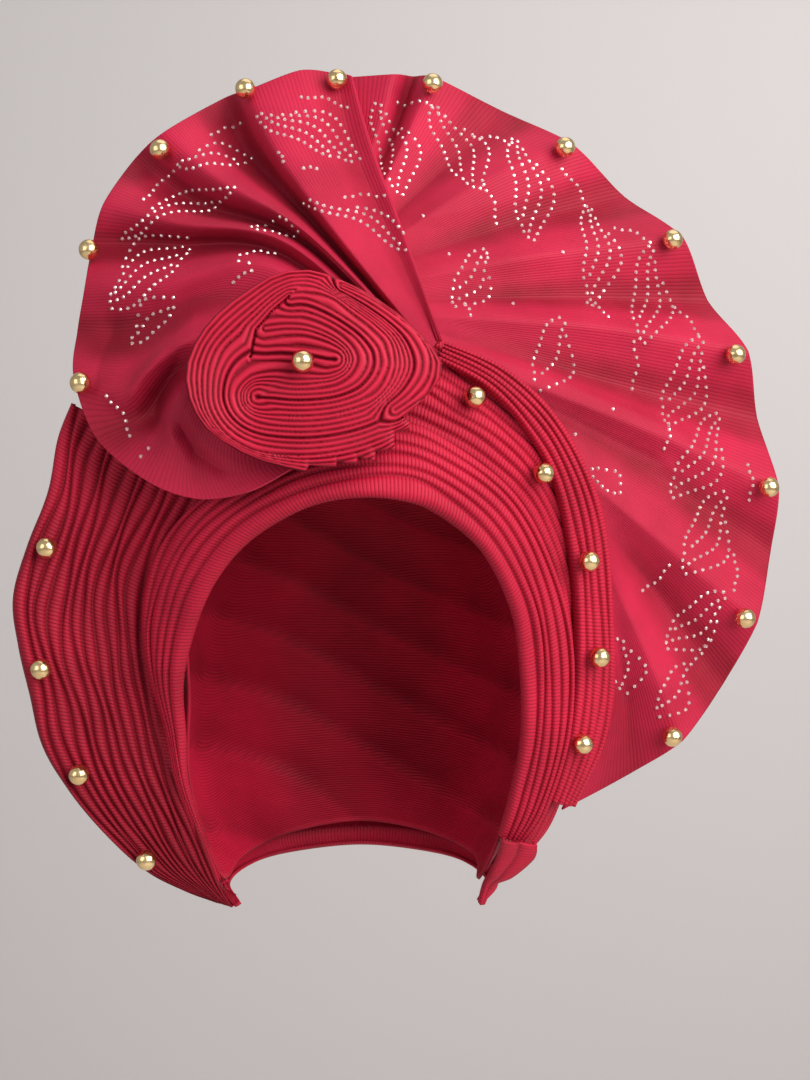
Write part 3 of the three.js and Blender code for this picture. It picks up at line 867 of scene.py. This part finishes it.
def beside_line(x, z, sample, far):
    """Distance from a point to a line whose sample is that far away (mm). Beside the sample it is
    measured square to the line, and past the line's end straight to the sample."""
    offset = (x - sample[0]) * sample[2] + (z - sample[1]) * sample[3]
    return abs(offset) if far * far - offset * offset < 0.3 else far


SAMPLES = line_samples(COIL_LINE, STRANDS, 0.0)
SAMPLES += line_samples(FAN_LINE, FAN_STRANDS, FAN_START)
SAMPLE_TREE = KDTree(len(SAMPLES))
for k, sample in enumerate(SAMPLES):
    SAMPLE_TREE.insert((sample[0], sample[1], 0.0), k)
SAMPLE_TREE.balance()


def strand_at(x, z, to_rim):
    """Number of the strand with its fraction, the strands there, and the run along it."""
    cut, outer = beside_cut(x, z)
    first, near, second = None, FAR, FAR
    found = SAMPLE_TREE.find_range((x, z, 0.0), PASS_REACH)
    for spot, k, far in sorted(found, key=lambda hit: hit[2]):
        if far > second + 0.5:
            break
        if cut < PASS_REACH and behind_cut(x, z, SAMPLES[k]):
            continue
        if first is None:
            first, near = k, beside_line(x, z, SAMPLES[k], far)
        elif abs(SAMPLES[k][4] - SAMPLES[first][4]) > PASS_APART:
            second = min(second, beside_line(x, z, SAMPLES[k], far))
    if first is None:
        return 0.0, STRANDS, 0.0
    sx, sz, ax, az, run, strands = SAMPLES[first]
    second = min(second, near + 2 * to_rim)
    if outer:
        second = min(second, near + 2 * cut)
    part = near / max(near + second, 1e-6)
    return strands * (0.5 + math.copysign(part, (x - sx) * ax + (z - sz) * az)), strands, run


def coil_point(i, j):
    """One point of the disc's front: place in metres, depth of painted shade and place on the
    cloth.
    """
    angle = -2 * math.pi * i / COIL_AROUND
    out = min(j / COIL_OUT, 1.0)
    rim, bound = RIM_FAR[i], BOUND_FAR[i]
    past = max(out - BOUND_SHARE, 0.0) / (1 - BOUND_SHARE)
    far = bound * min(out, BOUND_SHARE) + (rim - BOUND_SHARE * bound) * past
    x, z = COIL_MIDDLE[0] + far * math.cos(angle), COIL_MIDDLE[1] + far * math.sin(angle)
    front = COIL_FRONT + COIL_DOME * out ** 2.5
    if j > COIL_OUT:
        back = (j - COIL_OUT) / COIL_WALL
        narrow = 1 - 0.1 * back ** 2 if back <= 1 else 0.0
        spot = Vector((COIL_MIDDLE[0] + (x - COIL_MIDDLE[0]) * narrow, 0,
                       COIL_MIDDLE[1] + (z - COIL_MIDDLE[1]) * narrow))
        lean = COIL_LEAN * min(max((spot.z - 75) / 50, 0.0), 1.0)
        fold = 0.35 * math.sin(9 * back + 0.8 * math.sin(angle * 3))
        spot.y = front + (COIL_BACK + lean - front) * min(back, 1.0)
        spot.x, spot.z = spot.x + fold * math.cos(angle), spot.z + fold * math.sin(angle)
        # The side wall gets painted shade that deepens towards the back.
        return spot * MM, 0.3 + 0.3 * min(back, 1.0), (i * 0.0005, 0.01 * back)
    number, strands, run = strand_at(x, z, bound - far)
    share = abs(2 * (number % 1.0) - 1)
    joint = max(0.0, 1 - min(number, strands - number) / 0.45)
    lift = STRAND_RELIEF * (0.75 + 0.5 * stir(int(number) * 2.9, run * 0.035, 5.0))
    deep = lift * share ** 2.4 + 1.1 * joint ** 2 + (0.9 if beside_cut(x, z)[0] < 0.5 else 0.0)
    edge = 0.9 * max(0.0, 1 - (rim - far) / 0.8) ** 2
    # Painted shade: the valleys between strands and the joints between passes get a deeper red.
    return (Vector((x, front + deep + edge, z)) * MM, min(1.0, 0.65 * share ** 3 + 0.5 * joint),
            (run * MM, number * STRAND_CLOTH_WIDTH))


COIL_ANGLES = [-2 * math.pi * i / COIL_AROUND for i in range(COIL_AROUND)]
RIM_FAR = [rim_distance(COIL_RIM, angle) for angle in COIL_ANGLES]
BOUND_FAR = [max(rim_distance(COIL_BOUND, a), far) for a, far in zip(COIL_ANGLES, RIM_FAR)]
coil = [[coil_point(i, j) for i in range(COIL_AROUND)] for j in range(COIL_OUT + COIL_WALL + 2)]

# %% Disc of the coil
COIL_BEHIND = (-0.018, 0.05, 0.095)
rosette = cloth_piece(
    "rosette_coil", COIL_AROUND, COIL_OUT + COIL_WALL + 1,
    lambda i, j: coil[j][i % COIL_AROUND][0], lambda i0, i, j: coil[j][i % COIL_AROUND][2],
    COIL_BEHIND, STRAND_CLOTH, wall=0, valley=lambda i, j: coil[j][i % COIL_AROUND][1])
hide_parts("rosette")

# %% [markdown]
# ## The gold beads
# Light plated beads of 8 mm are sewn along the rims, the collar and the rosette. They are
# polished, so their finish is mostly what they mirror: gold metal, a low roughness, and a
# slow dent here and there that breaks the reflection as thin plated metal does.

# %% Gold finish
PALE_GOLD, DEEP_GOLD = (1.0, 0.78, 0.44, 1), (0.74, 0.50, 0.20, 1)


def gold_finish():
    material, tree, shader = new_finish("plated_gold")
    shader.inputs["Metallic"].default_value = 1.0
    place = add_node(tree, "TexCoord")
    tint = add_node(tree, "TexNoise", {"Scale": 300.0, "Detail": 2.0})
    dent = add_node(tree, "TexNoise", {"Scale": 420.0, "Detail": 1.0})
    mix = add_node(tree, "Mix", data_type="RGBA")
    mix.inputs["A"].default_value, mix.inputs["B"].default_value = DEEP_GOLD, PALE_GOLD
    dull = add_node(tree, "MapRange", {"To Min": 0.12, "To Max": 0.3})
    bump = add_node(tree, "Bump", {"Strength": 0.6, "Distance": 0.0004})
    join(tree, (place.outputs["Object"], tint.inputs["Vector"]),
         (place.outputs["Object"], dent.inputs["Vector"]),
         (tint.outputs[0], mix.inputs["Factor"]), (tint.outputs[0], dull.inputs["Value"]),
         (mix.outputs["Result"], shader.inputs["Base Color"]),
         (dull.outputs[0], shader.inputs["Roughness"]),
         (dent.outputs[0], bump.inputs["Height"]), (bump.outputs[0], shader.inputs["Normal"]))
    return material


GOLD = gold_finish()

# %% Beads
BEAD_RADIUS = 4.0
BEADS = [  # x, y, z of each centre
    [-44, -22, 216], [-77, -27, 191], [-104, -33, 151], [-103, -61, 97],
    [-8, -16, 221], [30, -13, 220], [83, -11, 195], [126, -11, 158],
    [151, -12, 112], [164, -14, 59], [154, -17, 7], [125, -17, -40],
    [45, -73, 91], [71, -65, 63], [89, -54, 30], [94, -43, -7],
    [88, -36, -41], [-117, -53, 35], [-119, -54, -11], [-106, -45, -52],
    [-82, -30, -87], [-17, -111, 101],
]
for number, centre in enumerate(BEADS, 1):
    bm = bmesh.new()
    bmesh.ops.create_uvsphere(bm, u_segments=28, v_segments=18, radius=BEAD_RADIUS * MM)
    bmesh.ops.translate(bm, verts=bm.verts, vec=Vector(centre) * MM)
    for face in bm.faces:
        face.smooth = True
    bead = finished(bm, f"gold_bead_{number:02d}", GOLD)
    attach(bead, "root")
    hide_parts(f"bead_{number:02d}")
print("beads:", len(BEADS))

# %% [markdown]
# ## The glued stones
# Small faceted glass stones with a silvered back are glued to both fans in leaf-shaped groups,
# with short arcs between them. A stone is an eight-sided cone cut off by a flat table. Each
# group is one row of a table: where the leaf starts and ends, how wide it is, and how many
# rows of how many stones it has. Every stone is dropped on the cloth from the front and set
# square to it, so it sits on the sheet from any side.

# %% Stone finish
ROSE_GLINT, WHITE_GLINT = (0.42, 0.16, 0.18, 1), (1.0, 0.86, 0.84, 1)


def stone_finish():
    material, tree, shader = new_finish("foiled_glass_stone")
    shader.inputs["Coat Weight"].default_value = 1.0
    shader.inputs["Metallic"].default_value = 0.55
    place = add_node(tree, "TexCoord")
    glint = add_node(tree, "TexNoise", {"Scale": 900.0, "Detail": 0.0})
    mix = add_node(tree, "Mix", data_type="RGBA")
    mix.inputs["A"].default_value, mix.inputs["B"].default_value = ROSE_GLINT, WHITE_GLINT
    clear = add_node(tree, "MapRange", {"To Min": 0.1, "To Max": 0.35})
    join(tree, (place.outputs["Object"], glint.inputs["Vector"]),
         (glint.outputs[0], mix.inputs["Factor"]), (glint.outputs[0], clear.inputs["Value"]),
         (mix.outputs["Result"], shader.inputs["Base Color"]),
         (clear.outputs[0], shader.inputs["Roughness"]))
    return material


STONE = stone_finish()

# %% Stones on the fans
STONE_RADIUS, STONE_HEIGHT, STONE_STEP, STONE_GAP = 0.84, 0.6, 2.8, 1.9
STONE_SIDES, STONE_TABLE, STONE_SEAT = 8, 0.55, 0.42  # sides, and shares of radius and height
DROP_FROM = -0.3  # y in metres


def leaf_spots(x0, z0, x1, z1, width, rows):
    """Places (x, z in mm) of the stones of one group: rows that run together at both ends."""
    start, end = Vector((x0, z0)), Vector((x1, z1))
    axis = end - start
    out = Vector((-axis.y, axis.x)).normalized() if axis.length > 0 else Vector((0, 0))
    count = round(axis.length / STONE_STEP) + 1
    spots = []
    for r in range(rows):
        beside = (r - (rows - 1) / 2) / max(rows - 1, 1)
        for k in range(count):
            f = k / max(count - 1, 1)
            swell = 0.12 + 0.88 * math.sin(math.pi * min(max(f - 0.12 * beside, 0.0), 1.0)) ** 0.8
            bow = axis.length * (0.09 * math.sin(math.pi * f) - 0.03 * math.sin(3 * math.pi * f))
            spot = start + axis * (f + 0.10 * beside) + out * (width * beside * swell + bow)
            if all((spot - other).length > STONE_GAP for other in spots):
                spots.append(spot)
    return spots


def glue_stones(name, groups, cloth):
    """Drops the stones of all groups from the front on that sheet, as one joined mesh."""
    skin = BVHTree.FromObject(cloth, bpy.context.evaluated_depsgraph_get())
    bm, missed = bmesh.new(), 0
    for group in groups:
        for spot in leaf_spots(*group):
            start = Vector((spot.x * MM, DROP_FROM, spot.y * MM))
            hit, normal, _, _ = skin.ray_cast(start, Vector((0, 1, 0)))
            if hit is None:
                missed += 1
                continue
            square = Vector((0, 0, 1)).rotation_difference(normal).to_matrix().to_4x4()
            seat = Matrix.Translation(hit + normal * (STONE_HEIGHT * STONE_SEAT * MM)) @ square
            bmesh.ops.create_cone(bm, cap_ends=True, segments=STONE_SIDES, depth=STONE_HEIGHT * MM,
                                  radius1=STONE_RADIUS * MM,
                                  radius2=STONE_RADIUS * STONE_TABLE * MM, matrix=seat)
    stones = finished(bm, name, STONE)
    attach(stones, "root")
    count = len(stones.data.polygons) // (STONE_SIDES + 2)
    print(name, "stones:", count, "missed:", missed)
    return stones


# %% Groups on the right fan
RIGHT_STONES = [  # x, z at start and end of the group, width, rows
    [10, 211, 15, 175, 16, 4], [33, 211, 45, 177, 18, 4], [65, 198, 67, 158, 16, 4],
    [95, 171, 92, 134, 15, 4], [119, 153, 111, 118, 17, 4], [138, 116, 121, 86, 18, 4],
    [51, 149, 37, 130, 15, 4], [81, 122, 69, 98, 17, 3], [146, 86, 124, 58, 17, 4],
    [148, 54, 128, 28, 20, 4], [146, 14, 123, -2, 18, 4], [132, -14, 119, -30, 14, 3],
    [93, 66, 101, 56, 9, 2], [105, -2, 105, -22, 14, 3], [16, 214, 35, 208, 0, 1],
    [50, 178, 55, 163, 0, 1], [47, 201, 62, 198, 0, 1], [82, 187, 93, 171, 0, 1],
    [91, 132, 99, 126, 0, 1], [103, 163, 117, 157, 0, 1], [109, 116, 109, 98, 0, 1],
    [128, 132, 136, 120, 0, 1], [123, 84, 121, 74, 0, 1], [42, 129, 44, 124, 0, 1],
    [156, 68, 157, 54, 0, 1], [123, 28, 113, 18, 0, 1], [151, 32, 150, 18, 0, 1],
    [141, -2, 134, -12, 0, 1], [100, 89, 100, 89, 0, 1], [85, 79, 85, 79, 0, 1],
    [81, 151, 81, 151, 0, 1], [61, 130, 61, 130, 0, 1], [36, 149, 36, 149, 0, 1],
    [26, 164, 26, 164, 0, 1],
]
glue_stones("right_fan_stones", RIGHT_STONES, right_fan)

# %% Groups on the left fan
LEFT_STONES = [  # x, z at start and end of the group, width, rows
    [-36, 206, -2, 186, 17, 5], [-68, 186, -43, 188, 11, 3], [-90, 158, -48, 171, 9, 3],
    [-94, 131, -64, 150, 23, 5], [-85, 115, -68, 127, 12, 3], [-17, 167, 24, 146, 8, 3],
    [-38, 157, -22, 153, 6, 2], [-43, 145, -30, 146, 0, 1], [-43, 142, -39, 141, 0, 1],
    [-45, 134, -38, 138, 0, 1], [-22, 213, -4, 210, 0, 1], [-83, 171, -70, 185, 0, 1],
    [-58, 199, -47, 205, 0, 1], [-93, 92, -84, 77, 0, 1], [-79, 69, -79, 69, 0, 1],
    [-76, 72, -76, 72, 0, 1], [-4, 169, 11, 171, 0, 1], [-30, 188, -28, 184, 0, 1],
    [-20, 181, -15, 181, 0, 1],
]
glue_stones("left_fan_stones", LEFT_STONES, left_fan)

# %% [markdown]
# ## Wall and floor
# Neither belongs to the object, so neither is attached to it. They stand far off, which keeps
# every side of the head tie open to view.

# %% Stage
PALE = (0.62, 0.58, 0.565)


def plain_finish(name, colour):
    material, tree, shader = new_finish(name)
    shader.inputs["Roughness"].default_value = 0.9
    place = add_node(tree, "TexCoord")
    cloud = add_node(tree, "TexNoise", {"Scale": 1.5, "Detail": 2.0})
    mix = add_node(tree, "Mix", data_type="RGBA")
    mix.inputs["A"].default_value = tuple(c * 0.97 for c in colour) + (1,)
    mix.inputs["B"].default_value = colour + (1,)
    join(tree, (place.outputs["Object"], cloud.inputs["Vector"]),
         (cloud.outputs[0], mix.inputs["Factor"]),
         (mix.outputs["Result"], shader.inputs["Base Color"]))
    return material


WALL_Y, FLOOR_Z, ROOM = 2.2, -0.8, 5.0
for name, turn, spot in (
    ("floor", Matrix.Identity(4), (0, 0, FLOOR_Z)),
    ("far_wall", Matrix.Rotation(math.radians(90), 4, "X"), (0, WALL_Y, FLOOR_Z + ROOM / 2)),
):
    bm = bmesh.new()
    bmesh.ops.create_grid(bm, x_segments=2, y_segments=2, size=ROOM, matrix=turn)
    bmesh.ops.translate(bm, verts=bm.verts, vec=Vector(spot))
    finished(bm, name, plain_finish("pale_" + name, PALE))
print("stage set")
